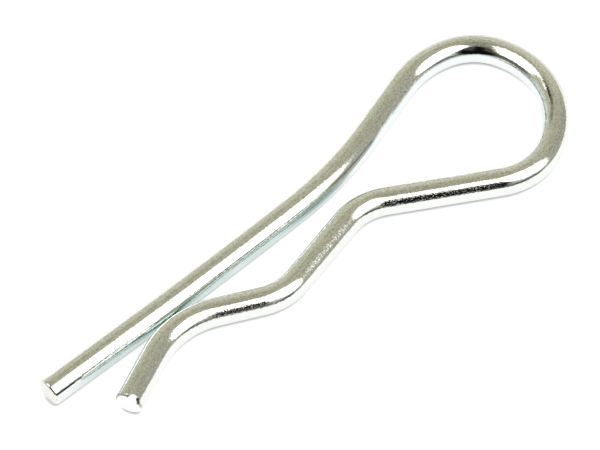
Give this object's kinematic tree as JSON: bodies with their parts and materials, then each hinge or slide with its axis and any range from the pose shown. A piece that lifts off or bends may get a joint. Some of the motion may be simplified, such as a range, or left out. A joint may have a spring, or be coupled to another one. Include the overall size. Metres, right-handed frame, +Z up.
{
  "type": "hitch r clip pin",
  "caption": "Spring wire R clip pin with a straight shank, an angled finger loop and a wavy gripping leg that holds round a drilled pin.",
  "frame": {"origin": "centre of the shank's cut end", "axes": "+X along the shank towards the finger loop, the wavy leg on the -Y side, +Z up out of the plane of the bends"},
  "size_m": [0.0879, 0.0287, 0.004],
  "materials": {
    "zinc_wire": "bright zinc plate on drawn spring wire"
  },
  "bodies": {
    "root": {"clip": "zinc_wire"}
  },
  "joints": []
}
